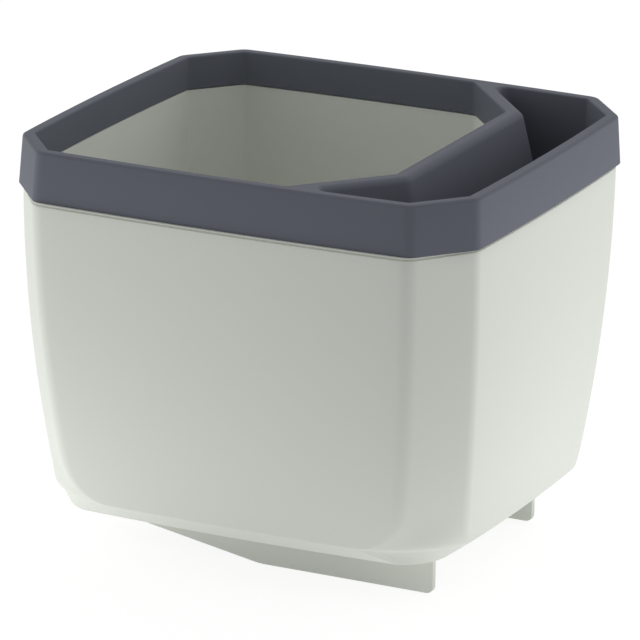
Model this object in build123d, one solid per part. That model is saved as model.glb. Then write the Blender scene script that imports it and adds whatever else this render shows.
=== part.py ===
from build123d import *
import os
from dataclasses import dataclass
from math import cos, hypot, pi, radians, sin, sqrt, tan

# Indoor herb planter: an outer pot that holds water, a planting pot that stands in it, and a collar
# that covers both rims and carries the filling pocket. Millimetres, Z up, X along the longer side.
# The feet of the two fins lie on Z = 0, and the pot is the same on both sides of the plane Y = 0.

# Collar, measured at the foot of its skirt
collar_half_width = 90.0
collar_half_depth = 83.4
collar_cut_x = 17.0
collar_cut_y = 20.3
side_bow = 1.3
front_bow = 1.6
collar_corner_radius = 6.0
skirt_height = 18.2
skirt_lean = 1.05
skirt_wall = 1.2
plate_thickness = 2.0
collar_top_edge_radius = 1.2
land_edge_radius = 0.7
flange_depth = 12.7
flange_lean = 0.5
flange_wall = 1.2
flange_gap = 0.4

# Divider between the planting space and the filling pocket, placed from the collar's skirt
divider_end_inset = 39.4
divider_corner_inset = 36.1
divider_width = 6.0
divider_corner_radius = 4.0
divider_end_radius = 3.0

# Filling pocket, a hopper that narrows as it goes down
hopper_depth = 63.0
hopper_slope = 12.6
hopper_outer_lean = 2.6
hopper_corner_radius = 6.0
hopper_wall = 1.5

# Outer pot
pot_wall = 2.2
fin_height = 16.3
bevel_height = 5.8
bevel_front_depth = 5.8
bevel_side_depth = 7.9
underside_cut_x = 11.0
underside_cut_y = 15.0
underside_fold_radius = 4.0
underside_corner_rise = 2.5
wall_height = 112.9
side_ledge_inset = 1.0
side_middle_lean = 1.6
side_crease_lean = 7.3
front_ledge_reach = 1.0
front_middle_lean = 4.6
front_crease_lean = 13.5
pot_cut_x_top = 16.4
pot_cut_x_low = 17.4
pot_cut_y_top = 23.0
pot_cut_y_low = 20.4
pot_fold_radius = 7.7
panel_corner_radius = 15.5
side_corner_share = 0.26
pot_corner_rise = 5.8
ledge_edge_radius = 1.2
ledge_least_width = 0.3
rim_clearance = 0.2
rim_height = 16.0
rim_tip_wall = 1.0

# Fins under the outer pot, placed from the edges of its underside
fin_side_inset = 21.1
fin_right_inset = 6.5
fin_left_inset = 6.3
fin_thickness = 2.7
fin_kink_x = -1.0
fin_slope = 10.1
fin_end_radius = 2.3
fin_kink_radius = 30.0

# Planting pot
fit_gap = 0.3
planter_wall = 1.1
planter_top_gap = 0.3
planter_side_recess = 0.2
planter_floor_lift = 18.0
planter_floor_clearance = 1.2
planter_divider_lean = 2.4

# Wells of the planting pot, hollow legs that reach the water, and the holes in its floor
well_top_radius = 13.0
well_foot_radius = 10.5
well_inset = 29.0
well_slot_width = 2.4
well_slot_height = 9.0
well_slot_lift = 3.0
well_slot_count = 4
hole_radius = 2.2
hole_pitch = 13.0
hole_columns = 9
hole_rows = 9
hole_margin = 3.0

# Working values
overrun = 1.0
least_radius = 0.4
edge_steps = 3
wall_steps = 8
turn_steps = 6

# Levels
underside_z = fin_height
crease_z = underside_z + bevel_height
ledge_z = crease_z + wall_height
collar_top_z = ledge_z + skirt_height
plate_z = collar_top_z - plate_thickness
flange_foot_z = collar_top_z - flange_depth
hopper_foot_z = collar_top_z - hopper_depth
rim_top_z = ledge_z + rim_height
reservoir_floor_z = underside_z + pot_wall
planter_top_z = flange_foot_z - planter_top_gap
planter_floor_z = reservoir_floor_z + planter_floor_lift

# Sizes that follow from others
land_width = skirt_wall + rim_clearance + rim_tip_wall + flange_gap + flange_wall + flange_lean
divider_x = collar_half_width - divider_end_inset
divider_corner_y = collar_half_depth - divider_corner_inset
ledge_half_width = collar_half_width - side_ledge_inset
ledge_half_depth = collar_half_depth + front_ledge_reach


@dataclass
class Outline:
    """A rectangle with cut corners and bowed sides, the same in all four quarters.

    The front edge ends at (front_x, front_y) and bows out to front_middle. The side edge ends at
    (side_x, side_y) and bows out to side_middle. The cut between them may rise into an arc."""

    front_x: float
    front_y: float
    side_x: float
    side_y: float
    front_middle: float
    side_middle: float
    rise: float
    radius: float

    def inset(self, gap):
        """The same outline with each side moved inwards by the gap."""
        cut_x = self.side_x - self.front_x
        cut_y = self.front_y - self.side_y
        length = hypot(cut_x, cut_y)
        normal_x = cut_y / length
        normal_y = cut_x / length
        return Outline(
            self.front_x - gap * (1 - normal_y) / normal_x,
            self.front_y - gap,
            self.side_x - gap,
            self.side_y - gap * (1 - normal_x) / normal_y,
            self.front_middle - gap,
            self.side_middle - gap,
            self.rise,
            max(self.radius - gap, least_radius),
        )

    def narrower(self, other):
        """The outline that stays inside both this one and the other."""
        return Outline(
            min(self.front_x, other.front_x),
            min(self.front_y, other.front_y),
            min(self.side_x, other.side_x),
            min(self.side_y, other.side_y),
            min(self.front_middle, other.front_middle),
            min(self.side_middle, other.side_middle),
            self.rise,
            self.radius,
        )

    def face(self, z):
        """The flat face inside the outline, at the height z, with its folds rounded."""
        edges = []
        for turn_x, turn_y in ((1, 1), (-1, 1), (-1, -1), (1, -1)):
            fold_front = (turn_x * self.front_x, turn_y * self.front_y)
            fold_side = (turn_x * self.side_x, turn_y * self.side_y)
            if self.rise:
                middle_x = (self.front_x + self.side_x) / 2
                middle_y = (self.front_y + self.side_y) / 2
                cut_x = self.side_x - self.front_x
                cut_y = self.front_y - self.side_y
                length = hypot(cut_x, cut_y)
                arc_x = turn_x * (middle_x + self.rise * cut_y / length)
                arc_y = turn_y * (middle_y + self.rise * cut_x / length)
                edges.append(ThreePointArc(fold_front, (arc_x, arc_y), fold_side))
            else:
                edges.append(Line(fold_front, fold_side))
        for turn in (1, -1):
            edges.append(
                ThreePointArc(
                    (self.front_x, turn * self.front_y),
                    (0, turn * self.front_middle),
                    (-self.front_x, turn * self.front_y),
                )
            )
            edges.append(
                ThreePointArc(
                    (turn * self.side_x, self.side_y),
                    (turn * self.side_middle, 0),
                    (turn * self.side_x, -self.side_y),
                )
            )
        flat = make_face(edges).faces()[0]
        flat = flat.fillet_2d(self.radius, flat.vertices())
        return Pos(0, 0, z) * flat


def cut_rectangle(half_width, half_depth, cut_x, cut_y, radius):
    """An outline with bowed sides from its half sizes at the folds and the size of its cuts."""
    return Outline(
        half_width - cut_x,
        half_depth,
        half_width,
        half_depth - cut_y,
        half_depth + front_bow,
        half_width + side_bow,
        0,
        radius,
    )


def through(first, middle, last, share):
    """The smooth curve through three values, at a share of the way from the first to the last."""
    slope = 4 * middle - 3 * first - last
    bend = first + last - 2 * middle
    return first + slope * share + 2 * bend * share**2


def between(first, last, share):
    return first + (last - first) * share


# Outlines of the collar

def collar_outline(z):
    """Outside of the collar's skirt, which leans in towards its top."""
    lean = skirt_lean * (z - ledge_z) / skirt_height
    return cut_rectangle(
        collar_half_width - lean,
        collar_half_depth - lean,
        collar_cut_x,
        collar_cut_y,
        collar_corner_radius,
    )


collar_top = collar_outline(collar_top_z)


# Outlines of the outer pot

turn_start_share = 1 - panel_corner_radius / wall_height


def pot_walls(share):
    """Outline of the pot's walls, from the ledge at share 0 down to the crease at share 1.

    Above the crease the flat panels have rounded lower corners, the front and back panels more than
    the side ones, and the cut rises into an arc."""
    half_width = ledge_half_width - through(0, side_middle_lean, side_crease_lean, share)
    half_depth = ledge_half_depth - through(0, front_middle_lean, front_crease_lean, share)
    turn = min(max(0, (share - turn_start_share) / (1 - turn_start_share)), 1)
    growth = panel_corner_radius * (1 - sqrt(1 - turn**2))
    full_x = half_width - between(pot_cut_x_top, pot_cut_x_low, share)
    full_y = half_depth - between(pot_cut_y_top, pot_cut_y_low, share)
    front_x = full_x - growth
    side_y = full_y - growth * side_corner_share
    return Outline(
        front_x,
        half_depth + front_bow * (1 - (front_x / full_x) ** 2),
        half_width + side_bow * (1 - (side_y / full_y) ** 2),
        side_y,
        half_depth + front_bow,
        half_width + side_bow,
        pot_corner_rise * turn**2,
        pot_fold_radius,
    )


def wall_levels(start_share):
    """Shares of the wall's height where its outline is drawn, closer together at the crease."""
    levels = []
    for step in range(wall_steps):
        levels.append(between(start_share, turn_start_share, step / wall_steps))
    for step in range(turn_steps + 1):
        levels.append(between(turn_start_share, 1, sin(step / turn_steps * pi / 2)))
    return levels


def wall_z(share):
    return ledge_z - share * wall_height


def wall_share(z):
    return (ledge_z - z) / wall_height


def rim_outline(z):
    """Outside of the rim, clear of the skirt and inside the ledge."""
    clear_of_skirt = collar_outline(z).inset(skirt_wall + rim_clearance)
    return clear_of_skirt.narrower(pot_walls(0).inset(ledge_least_width))


def make_underside():
    """The outline at the foot of the bevel, with fuller corners, because the cut hardly bevels."""
    half_width = ledge_half_width - side_crease_lean - bevel_side_depth
    half_depth = ledge_half_depth - front_crease_lean - bevel_front_depth
    return Outline(
        half_width - underside_cut_x,
        half_depth,
        half_width,
        half_depth - underside_cut_y,
        half_depth + front_bow,
        half_width + side_bow,
        underside_corner_rise,
        underside_fold_radius,
    )


rim_inside = rim_outline(rim_top_z).inset(rim_tip_wall)
underside = make_underside()
reservoir_floor = underside.inset(pot_wall * (sqrt(2) - 1))
fin_y = underside.front_y - fin_side_inset
fin_right_end = underside.side_x - fin_right_inset
fin_left_end = underside.side_x - fin_left_inset


# Outer pot

def make_pot_outside():
    """The walls from the rounded edge of the ledge down to the crease, and the bevel below it."""
    layers = []
    for step in range(edge_steps):
        angle = step / edge_steps * pi / 2
        drop = ledge_edge_radius * (1 - cos(angle))
        edge = pot_walls(wall_share(ledge_z - drop)).inset(ledge_edge_radius * (1 - sin(angle)))
        layers.append(edge.face(ledge_z - drop))
    for share in wall_levels(wall_share(ledge_z - ledge_edge_radius)):
        layers.append(pot_walls(share).face(wall_z(share)))
    layers.append(underside.face(underside_z))
    return loft(layers, ruled=True)


def make_pot_cavity():
    """The water space: straight behind the rim, then a wall's thickness inside the walls."""
    layers = [rim_inside.face(rim_top_z + overrun)]
    for share in wall_levels(0):
        inside = pot_walls(share).inset(pot_wall).narrower(rim_inside)
        layers.append(inside.face(wall_z(share)))
    layers.append(reservoir_floor.face(reservoir_floor_z))
    return loft(layers, ruled=True)


def make_fin():
    """One upright fin: level to the right of its kink, rising to the left of it."""
    left_z = (fin_left_end + fin_kink_x) * tan(radians(fin_slope))
    root_z = underside_z + pot_wall / 2
    sides = Polyline(
        (-fin_left_end, root_z),
        (-fin_left_end, left_z),
        (fin_kink_x, 0),
        (fin_right_end, 0),
        (fin_right_end, root_z),
        close=True,
    )
    profile = make_face(sides).faces()[0]
    end = profile.vertices().sort_by(Axis.Y)[:2].sort_by(Axis.X)[1]
    profile = profile.fillet_2d(fin_end_radius, [end])
    kink = profile.vertices().sort_by(Axis.Y)[:2].sort_by(Axis.X)[0]
    profile = profile.fillet_2d(fin_kink_radius, [kink])
    return Rot(90, 0, 0) * extrude(profile, fin_thickness / 2, both=True)


def make_outer_pot():
    rim = loft([rim_outline(ledge_z).face(ledge_z), rim_outline(rim_top_z).face(rim_top_z)], ruled=True)
    pot = make_pot_outside() + rim - make_pot_cavity()
    for side in (1, -1):
        pot += Pos(0, side * fin_y, 0) * make_fin()
    return pot


# Divider between the planting space and the filling pocket

def divider_corner(setback):
    """The corner of the divider's line, moved towards the pocket."""
    length = hypot(collar_cut_x, collar_cut_y)
    normal_x = collar_cut_y / length
    normal_y = collar_cut_x / length
    return divider_x + setback, divider_corner_y + setback * (1 - normal_x) / normal_y


def planting_side(setback, radius):
    """The flat face of all that lies on the planting side of the divider's line."""
    corner_x, corner_y = divider_corner(setback)
    far_x = 2 * collar_half_width
    far_y = collar_half_depth + corner_y
    slant_x = corner_x - (far_y - corner_y) * collar_cut_x / collar_cut_y
    plan = Polyline(
        (corner_x, -corner_y),
        (corner_x, corner_y),
        (slant_x, far_y),
        (-far_x, far_y),
        (-far_x, -far_y),
        (slant_x, -far_y),
        close=True,
    )
    flat = make_face(plan).faces()[0]
    return flat.fillet_2d(radius, flat.vertices().sort_by(Axis.X)[-2:])


def planting_face(outline, setback, z):
    """An outline cut off at the divider's line, with its new corners rounded."""
    flat = (outline.face(0) & planting_side(setback, divider_corner_radius)).faces()[0]
    right = flat.vertices().filter_by(lambda corner: corner.X > 0).sort_by(Axis.Y)
    return Pos(0, 0, z) * flat.fillet_2d(divider_end_radius, [right[0], right[-1]])


def pocket_face(outline, setback, z):
    """What the divider's line leaves of an outline on the pocket's side, with its tips rounded."""
    flat = (outline.face(0) - planting_side(setback, hopper_corner_radius)).faces()[0]
    tips = flat.vertices().sort_by(Axis.X)[:2]
    return Pos(0, 0, z) * flat.fillet_2d(divider_end_radius, tips)


# Planting pot

planter_rim = rim_inside.inset(fit_gap)
planter_foot = pot_walls(wall_share(planter_floor_z)).inset(pot_wall + planter_floor_clearance)
planter_side = flange_lean + planter_side_recess + planter_wall
planter_foot_side = planter_side - planter_divider_lean


def planter_form(wall):
    """The planting pot's outer form, or the form of the space a wall's thickness inside it."""
    top = planting_face(planter_rim.inset(wall), planter_side - wall, planter_top_z)
    foot = planting_face(planter_foot.inset(wall), planter_foot_side - wall, planter_floor_z + wall)
    return loft([foot, top], ruled=True)


well_left_x = well_inset - planter_foot.side_x
well_right_x = divider_corner(planter_foot_side)[0] - well_inset
well_y = planter_foot.front_y - well_inset
well_places = [(x, y) for x in (well_left_x, well_right_x) for y in (well_y, -well_y)]


def make_well_form(wall):
    """The outer form of a hollow leg, or of the space a wall's thickness inside it."""
    height = planter_floor_z - reservoir_floor_z
    form = Solid.make_cone(well_foot_radius - wall, well_top_radius - wall, height + planter_wall - wall)
    return Pos(0, 0, reservoir_floor_z + wall) * form


def make_well_slots():
    slots = []
    for index in range(well_slot_count):
        slot = Box(
            2 * well_top_radius,
            well_slot_width,
            well_slot_height,
            align=(Align.MIN, Align.CENTER, Align.MIN),
        )
        turn = 360 * (index + 1 / 2) / well_slot_count
        slots.append(Rot(0, 0, turn) * Pos(0, 0, reservoir_floor_z + well_slot_lift) * slot)
    return slots


def beyond_cut(x, y, corner_x, corner_y):
    """How far a place lies outside a line with the collar's cut direction through a corner."""
    length = hypot(collar_cut_x, collar_cut_y)
    return ((x - corner_x) * collar_cut_y + (y - corner_y) * collar_cut_x) / length


def hole_places():
    """A grid of places on the planting pot's floor, clear of its walls and of the wells."""
    places = []
    clear = planter_wall + hole_margin + hole_radius
    floor = planter_foot.inset(clear)
    corner_x, corner_y = divider_corner(planter_foot_side - clear)
    middle_x = (well_left_x + well_right_x) / 2
    for column in range(hole_columns):
        for row in range(hole_rows):
            x = middle_x + (column - (hole_columns - 1) / 2) * hole_pitch
            y = (row - (hole_rows - 1) / 2) * hole_pitch
            in_walls = -floor.side_x < x < corner_x and abs(y) < floor.front_y
            in_left_cuts = beyond_cut(-x, abs(y), floor.side_x, floor.side_y) < 0
            in_right_cuts = beyond_cut(x, abs(y), corner_x, corner_y) < 0
            off_wells = all(
                hypot(x - centre_x, y - centre_y) > well_top_radius + hole_margin + hole_radius
                for centre_x, centre_y in well_places
            )
            if in_walls and in_left_cuts and in_right_cuts and off_wells:
                places.append((x, y))
    return places


def make_inner_pot():
    pot = planter_form(0)
    for x, y in well_places:
        pot += Pos(x, y, 0) * make_well_form(0)
    cuts = [planter_form(planter_wall)]
    for x, y in well_places:
        cuts.append(Pos(x, y, 0) * make_well_form(planter_wall))
        cuts += [Pos(x, y, 0) * slot for slot in make_well_slots()]
    for x, y in hole_places():
        cuts.append(Pos(x, y, planter_floor_z) * Cylinder(hole_radius, 2 * (planter_wall + overrun)))
    return pot - cuts


# Collar

def make_planting_hole():
    top = planting_face(collar_top.inset(land_width), 0, collar_top_z)
    foot = planting_face(collar_top.inset(land_width - flange_lean), flange_lean, flange_foot_z)
    return loft([foot, top], ruled=True)


def make_planting_flange():
    """The form that holds the flange round the planting hole, up to inside the plate."""
    wall_width = land_width - flange_wall
    top = planting_face(collar_top.inset(wall_width), flange_wall, collar_top_z)
    foot = planting_face(
        collar_top.inset(wall_width - flange_lean), flange_wall + flange_lean, flange_foot_z
    )
    return loft([foot, top], ruled=True)


def make_hopper_form(wall):
    """The space of the filling pocket, or the form of a wall's thickness round it."""
    run = hopper_depth * tan(radians(hopper_slope))
    top = pocket_face(collar_top.inset(land_width - wall), divider_width - wall, collar_top_z)
    foot_outline = collar_top.inset(land_width + hopper_outer_lean - wall)
    foot = pocket_face(foot_outline, divider_width + run - wall, hopper_foot_z)
    return loft([foot, top], ruled=True)


def make_collar():
    skirt = loft([collar_outline(ledge_z).face(ledge_z), collar_top.face(collar_top_z)], ruled=True)
    skirt = fillet(skirt.faces().sort_by(Axis.Z)[-1].edges(), collar_top_edge_radius)
    hollow = loft(
        [
            collar_outline(ledge_z).inset(skirt_wall).face(ledge_z),
            collar_outline(plate_z).inset(skirt_wall).face(plate_z),
        ],
        ruled=True,
    )
    collar = skirt - hollow
    collar += make_planting_flange()
    collar += make_hopper_form(hopper_wall)
    collar -= make_planting_hole()
    collar -= make_hopper_form(0)
    land = collar.faces().sort_by(Axis.Z)[-1]
    mouths = [edge for wire in land.inner_wires() for edge in wire.edges()]
    return fillet(mouths, land_edge_radius)


os.makedirs("parts", exist_ok=True)
for name, make in (("outer_pot", make_outer_pot), ("inner_pot", make_inner_pot), ("collar", make_collar)):
    shape = make()
    print(name, "solids", len(shape.solids()), "volume", round(shape.volume), "centre", shape.center())
    export_step(shape, f"parts/{name}.step")
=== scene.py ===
# %% [markdown]
# # An indoor herb planter, dressed for a picture
# The planter has three mouldings. A pale outer pot holds water and stands on two thin fins. A pale
# planting pot stands inside it, and a slate grey collar covers both rims and carries a pocket that
# the water is poured into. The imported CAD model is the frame: every piece made here takes the place
# of one CAD node and rides on that node's body. All sizes below are in millimetres and are turned
# into metres once, where a mesh is made.

# %% Load the frame
from math import atan2, cos, hypot, pi, radians, sin, sqrt, tan

import bmesh
import bpy
from mathutils import Matrix, Vector


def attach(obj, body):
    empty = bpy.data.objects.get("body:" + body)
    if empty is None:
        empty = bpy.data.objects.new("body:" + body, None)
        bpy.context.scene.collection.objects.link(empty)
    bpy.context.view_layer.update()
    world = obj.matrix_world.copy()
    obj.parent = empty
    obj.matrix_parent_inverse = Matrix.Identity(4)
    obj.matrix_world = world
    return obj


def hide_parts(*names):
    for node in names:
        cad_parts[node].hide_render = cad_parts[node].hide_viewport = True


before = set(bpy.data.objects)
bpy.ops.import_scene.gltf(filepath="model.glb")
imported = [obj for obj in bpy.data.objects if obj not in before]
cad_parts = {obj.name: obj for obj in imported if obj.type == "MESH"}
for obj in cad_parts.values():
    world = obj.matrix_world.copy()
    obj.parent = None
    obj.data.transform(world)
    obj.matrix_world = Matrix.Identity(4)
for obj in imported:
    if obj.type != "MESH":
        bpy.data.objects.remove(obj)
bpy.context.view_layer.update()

MM = 0.001

# %% [markdown]
# ## The outline that all three pieces share
# Seen from above, the pot, its rim and the collar are one shape: a rectangle with cut corners and
# sides that bow out a little. It could be a curve object with a bevel, but each height needs its own
# size, so the shape is written as a rule. An outline is six numbers, and a ring of points is drawn
# from it in the same order at every height, so two rings can be joined point by point.

# %% Describe an outline
FRONT_BOW = 1.6
SIDE_BOW = 1.3
COLLAR_CUT = (17.0, 20.3)
LEAST_RADIUS = 0.4


def cut_rectangle(half_width, half_depth, radius):
    """An outline with straight cuts, from its half sizes at the folds."""
    return {
        "front": (half_width - COLLAR_CUT[0], half_depth),
        "side": (half_width, half_depth - COLLAR_CUT[1]),
        "bow": (half_width + SIDE_BOW, half_depth + FRONT_BOW),
        "rise": 0.0,
        "radius": radius,
    }


def inset(outline, gap):
    """The same outline with each side moved inwards by the gap."""
    (front_x, front_y), (side_x, side_y) = outline["front"], outline["side"]
    length = hypot(side_x - front_x, front_y - side_y)
    normal_x, normal_y = (front_y - side_y) / length, (side_x - front_x) / length
    return {
        "front": (front_x - gap * (1 - normal_y) / normal_x, front_y - gap),
        "side": (side_x - gap, side_y - gap * (1 - normal_x) / normal_y),
        "bow": (outline["bow"][0] - gap, outline["bow"][1] - gap),
        "rise": outline["rise"],
        "radius": max(outline["radius"] - gap, LEAST_RADIUS),
    }


def narrower(first, second):
    """The outline that stays inside both."""
    made = dict(first)
    for key in ("front", "side", "bow"):
        made[key] = tuple(map(min, first[key], second[key]))
    return made


# %% Draw a ring of points
SIDE_PIECES = 12
CUT_PIECES = 6
FOLD_PIECES = 6


def arc(start, end, rise, pieces):
    """The inner points of an arc that rises to the right of the way from its start to its end."""
    run_x, run_y = end[0] - start[0], end[1] - start[1]
    chord = hypot(run_x, run_y)
    along_x, along_y = run_x / chord, run_y / chord
    half = 2 * atan2(2 * rise, chord)
    points = []
    for step in range(1, pieces):
        angle = half * (2 * step / pieces - 1)
        if half < 1e-6:
            run, lift = chord * step / pieces, 0
        else:
            run = chord / 2 * (1 + sin(angle) / sin(half))
            lift = chord / 2 * (cos(angle) - cos(half)) / sin(half)
        x = start[0] + along_x * run + along_y * lift
        y = start[1] + along_y * run - along_x * lift
        points.append((x, y))
    return points


def rounded(corners):
    """A closed ring from corners (x, y, radius), each corner with a radius turned into an arc."""
    ring = []
    for index, (x, y, radius) in enumerate(corners):
        if not radius:
            ring.append((x, y))
            continue
        here = Vector((x, y))
        back_way = (Vector(corners[index - 1][:2]) - here).normalized()
        on_way = (Vector(corners[(index + 1) % len(corners)][:2]) - here).normalized()
        half = back_way.angle(on_way) / 2
        centre = here + (back_way + on_way).normalized() * radius / sin(half)
        first = here + back_way * radius / tan(half) - centre
        last = here + on_way * radius / tan(half) - centre
        start = atan2(first.y, first.x)
        turn = (atan2(last.y, last.x) - start + pi) % (2 * pi) - pi
        for step in range(FOLD_PIECES + 1):
            angle = start + turn * step / FOLD_PIECES
            ring.append((centre.x + radius * cos(angle), centre.y + radius * sin(angle)))
    return ring


def whole_ring(outline):
    """The whole outline as a ring of points, anticlockwise from above."""
    (front_x, front_y), (side_x, side_y) = outline["front"], outline["side"]
    side_rise = outline["bow"][0] - side_x
    front_rise = outline["bow"][1] - front_y
    radius, rise = outline["radius"], outline["rise"]
    folds = [
        ((side_x, -side_y), side_rise, SIDE_PIECES),
        ((side_x, side_y), rise, CUT_PIECES),
        ((front_x, front_y), front_rise, SIDE_PIECES),
        ((-front_x, front_y), rise, CUT_PIECES),
        ((-side_x, side_y), side_rise, SIDE_PIECES),
        ((-side_x, -side_y), rise, CUT_PIECES),
        ((-front_x, -front_y), front_rise, SIDE_PIECES),
        ((front_x, -front_y), rise, CUT_PIECES),
    ]
    corners = []
    for index, (fold, bulge, pieces) in enumerate(folds):
        following = folds[(index + 1) % len(folds)][0]
        corners.append((*fold, radius))
        corners += [(*point, 0) for point in arc(fold, following, bulge, pieces)]
    return rounded(corners)


COLLAR_HALF_WIDTH, COLLAR_HALF_DEPTH, COLLAR_CORNER = 90.0, 83.4, 6.0
collar_line = cut_rectangle(COLLAR_HALF_WIDTH, COLLAR_HALF_DEPTH, COLLAR_CORNER)
print("points in a ring:", len(whole_ring(collar_line)))

# %% [markdown]
# ## A skin over rings
# A moulded wall is a stack of rings with its edges rounded. Rounding every edge by hand, or with a
# Bevel modifier on a finished mesh, gives no control of the radius from place to place. Here a
# Geometry Nodes tree does it. Each column of points, one from each ring, becomes a curve. Fillet
# Curve rounds its corners with the radius that is stored on each point, and a grid is then laid
# through all the rounded columns. The tree is built once and serves every wall of all three pieces.

# %% Helpers for a node tree
WELD, SLIVER = 0.000003, 0.0000005


def add_node(tree, kind, settings=None, **inputs):
    """Adds a node. Inputs are given by name, as a value or as another node's output socket."""
    node = tree.nodes.new(kind)
    for key, value in (settings or {}).items():
        setattr(node, key, value)
    for key, value in inputs.items():
        wanted = key.replace("_", " ").lower()
        socket = next(s for s in node.inputs if s.enabled and s.name.lower() == wanted)
        if isinstance(value, bpy.types.NodeSocket):
            tree.links.new(value, socket)
        else:
            socket.default_value = value
    return node


def math_node(tree, operation, *values):
    node = tree.nodes.new("ShaderNodeMath")
    node.operation = operation
    for socket, value in zip(node.inputs, values):
        if isinstance(value, bpy.types.NodeSocket):
            tree.links.new(value, socket)
        else:
            socket.default_value = value
    return node.outputs[0]


def geometry_group(name, inputs):
    """A new tree with a geometry input and output and the named inputs."""
    tree = bpy.data.node_groups.new(name, "GeometryNodeTree")
    tree.interface.new_socket(name="Geometry", in_out="INPUT", socket_type="NodeSocketGeometry")
    for socket_name, kind, value in inputs:
        socket = tree.interface.new_socket(name=socket_name, in_out="INPUT", socket_type=kind)
        if value is not None:
            socket.default_value = value
    tree.interface.new_socket(name="Geometry", in_out="OUTPUT", socket_type="NodeSocketGeometry")
    return tree, tree.nodes.new("NodeGroupInput").outputs, tree.nodes.new("NodeGroupOutput").inputs


# %% Build the tree that skins rings
def make_skin_tree():
    tree, given, result = geometry_group("skin_over_rings", [
        ("Columns", "NodeSocketInt", 100),
        ("Edge Steps", "NodeSocketInt", 4),
    ])
    curves = add_node(tree, "GeometryNodeMeshToCurve", Mesh=given["Geometry"]).outputs[0]
    soft = add_node(tree, "GeometryNodeInputNamedAttribute", {"data_type": "FLOAT"}, Name="soft")
    softened = add_node(
        tree, "GeometryNodeFilletCurve", {"mode": "POLY"},
        Curve=curves, Count=given["Edge Steps"], Radius=soft.outputs[0], Limit_Radius=True,
    ).outputs[0]
    size = add_node(
        tree, "GeometryNodeAttributeDomainSize", {"component": "CURVE"}, Geometry=softened
    )
    rows = math_node(tree, "DIVIDE", size.outputs["Point Count"], given["Columns"])
    around = math_node(tree, "ADD", given["Columns"], 1)
    grid = add_node(tree, "GeometryNodeMeshGrid", Vertices_X=around, Vertices_Y=rows).outputs[0]
    index = add_node(tree, "GeometryNodeInputIndex").outputs[0]
    between = math_node(tree, "DIVIDE", math_node(tree, "ADD", index, 0.5), rows)
    column = math_node(tree, "FLOOR", between)
    row = math_node(tree, "SUBTRACT", index, math_node(tree, "MULTIPLY", column, rows))
    turn = math_node(tree, "MODULO", column, given["Columns"])
    source = math_node(tree, "ADD", math_node(tree, "MULTIPLY", turn, rows), row)
    place = add_node(tree, "GeometryNodeInputPosition").outputs[0]
    sample = add_node(
        tree, "GeometryNodeSampleIndex", {"data_type": "FLOAT_VECTOR"},
        Geometry=softened, Value=place, Index=source,
    ).outputs[0]
    skin = add_node(tree, "GeometryNodeSetPosition", Geometry=grid, Position=sample).outputs[0]
    merged = add_node(tree, "GeometryNodeMergeByDistance", Geometry=skin, Distance=WELD)
    tree.links.new(merged.outputs[0], result["Geometry"])
    return tree


skin_tree = make_skin_tree()
print("skin tree nodes:", len(skin_tree.nodes))


# %% Turn rings into an object, and a tree's result into a plain mesh
def ring_object(name, levels):
    """An object of columns. Each level is (ring of x and y, z, radius), and a radius may be a list."""
    columns = len(levels[0][0])
    points, joints, softness = [], [], []
    for column in range(columns):
        for row, (ring, z, soft) in enumerate(levels):
            if row:
                joints.append((len(points) - 1, len(points)))
            points.append((ring[column][0] * MM, ring[column][1] * MM, z * MM))
            softness.append((soft[column] if isinstance(soft, list) else soft) * MM)
    mesh = bpy.data.meshes.new(name)
    mesh.from_pydata(points, joints, [])
    mesh.attributes.new("soft", "FLOAT", "POINT").data.foreach_set("value", softness)
    made = bpy.data.objects.new(name, mesh)
    bpy.context.scene.collection.objects.link(made)
    return made


def use_tree(piece, tree, **values):
    """Adds the tree as a modifier and sets its inputs by their identifiers."""
    modifier = piece.modifiers.new(tree.name, "NODES")
    modifier.node_group = tree
    for item in tree.interface.items_tree:
        key = item.name.lower().replace(" ", "_")
        if item.in_out == "INPUT" and key in values:
            modifier[item.identifier] = values[key]


def baked(piece, helpers=(), sharp=30):
    """Turns the tree's result into the piece's own plain mesh, closed, outward and smooth."""
    graph = bpy.context.evaluated_depsgraph_get()
    mesh = bpy.data.meshes.new_from_object(piece.evaluated_get(graph))
    piece.modifiers.clear()
    piece.data = mesh
    for helper in helpers:
        bpy.data.objects.remove(helper)
    work = bmesh.new()
    work.from_mesh(mesh)
    bmesh.ops.remove_doubles(work, verts=work.verts, dist=WELD)
    bmesh.ops.dissolve_degenerate(work, edges=work.edges, dist=SLIVER)
    bmesh.ops.recalc_face_normals(work, faces=work.faces)
    open_edges = sum(not edge.is_manifold for edge in work.edges)
    volume = work.calc_volume()
    work.to_mesh(mesh)
    work.free()
    mesh.shade_smooth()
    mesh.set_sharp_from_angle(angle=radians(sharp))
    print(piece.name, "faces", len(mesh.polygons), "open edges", open_edges)
    print("volume in ml", round(volume * 1e6, 1))
    return piece


# %% [markdown]
# ## Moulded plastic
# Both colours are the same kind of plastic, moulded with a very fine matt texture. A photograph of a
# real surface would bring someone else's marks with it, so the texture is drawn by noise. Two shader
# groups hold what the materials share: the grain, which is a height and a change of roughness, and
# the faint clouding of colour that a large moulding has.

# %% Build the shared shader groups
def shader_group(name, inputs, outputs):
    tree = bpy.data.node_groups.new(name, "ShaderNodeTree")
    for socket_name, kind, value in inputs:
        socket = tree.interface.new_socket(name=socket_name, in_out="INPUT", socket_type=kind)
        if value is not None:
            socket.default_value = value
    for socket_name, kind in outputs:
        tree.interface.new_socket(name=socket_name, in_out="OUTPUT", socket_type=kind)
    return tree, tree.nodes.new("NodeGroupInput").outputs, tree.nodes.new("NodeGroupOutput").inputs


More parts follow.
